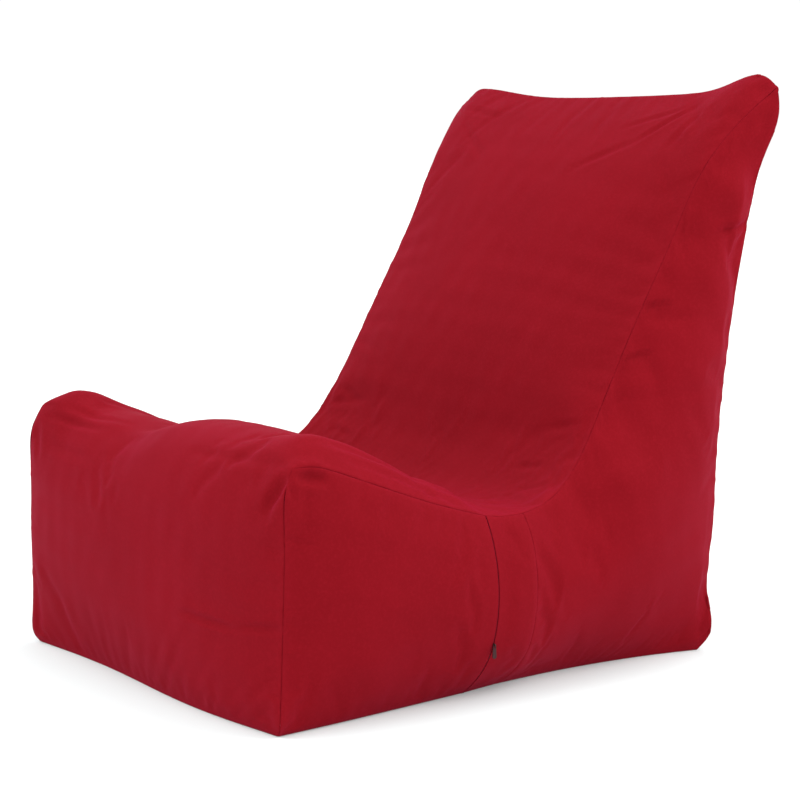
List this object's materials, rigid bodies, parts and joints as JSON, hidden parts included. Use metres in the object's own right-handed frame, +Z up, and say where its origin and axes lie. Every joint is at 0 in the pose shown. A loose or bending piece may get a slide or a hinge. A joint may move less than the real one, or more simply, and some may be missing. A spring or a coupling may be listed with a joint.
{
  "type": "bean bag chair",
  "caption": "L-shaped lounge bean bag with a low seat, a tall tapering back and a concealed zip in each side.",
  "frame": {"origin": "middle of the bag's box, on the floor", "axes": "+Z up, the sitter faces -Y, +X to the right of a viewer who looks along +Y at the bag's front"},
  "size_m": [0.88, 1.0153, 0.9767],
  "materials": {
    "cover_fabric": "matte",
    "liner_fabric": "matte",
    "beads": "matte",
    "zip_tape": "matte",
    "zip_coil": "satin",
    "zip_metal": "satin",
    "liner_zip": "matte"
  },
  "bodies": {
    "bag": {"bottom_panel": "cover_fabric", "front_seat_back_panel": "cover_fabric", "rear_panel": "cover_fabric", "side_front_panel_left": "cover_fabric", "side_front_panel_right": "cover_fabric", "zip_strip_left": "cover_fabric", "zip_strip_right": "cover_fabric", "side_rear_panel_left": "cover_fabric", "side_rear_panel_right": "cover_fabric", "zip_tape_front_left": "zip_tape", "zip_tape_front_right": "zip_tape", "zip_tape_rear_left": "zip_tape", "zip_tape_rear_right": "zip_tape", "zip_coil_left": "zip_coil", "zip_coil_right": "zip_coil", "zip_stops_left": "zip_coil", "zip_stops_right": "zip_coil", "liner_main": "liner_fabric", "liner_side_left": "liner_fabric", "liner_side_right": "liner_fabric", "liner_zip_tape": "liner_zip", "liner_zip_coil": "liner_zip", "bead_fill": "beads"},
    "slider_left": {"zip_slider_left": "zip_metal"},
    "slider_right": {"zip_slider_right": "zip_metal"},
    "pull_left": {"zip_pull_left": "zip_metal"},
    "pull_right": {"zip_pull_right": "zip_metal"},
    "liner_slider": {"liner_zip_slider": "liner_zip"}
  },
  "joints": [
    {"name": "zip_slide_left", "type": "hinge", "parent": "bag", "child": "slider_left", "pos_m": [-0.2, -0.125, 0.175], "axis": [0, 1, 0], "range_deg": [0, 43.6]},
    {"name": "pull_swing_left", "type": "hinge", "parent": "slider_left", "child": "pull_left", "pos_m": [-0.42916, -0.125, 0.09475], "axis": [0, 1, 0], "range_deg": [-18, 160]},
    {"name": "zip_slide_right", "type": "hinge", "parent": "bag", "child": "slider_right", "pos_m": [0.2, -0.125, 0.175], "axis": [0, -1, 0], "range_deg": [0, 43.6]},
    {"name": "pull_swing_right", "type": "hinge", "parent": "slider_right", "child": "pull_right", "pos_m": [0.42916, -0.125, 0.09475], "axis": [0, -1, 0], "range_deg": [-18, 160]},
    {"name": "liner_zip_slide", "type": "slide", "parent": "bag", "child": "liner_slider", "axis": [1, 0, 0], "range_m": [0, 0.28]}
  ]
}
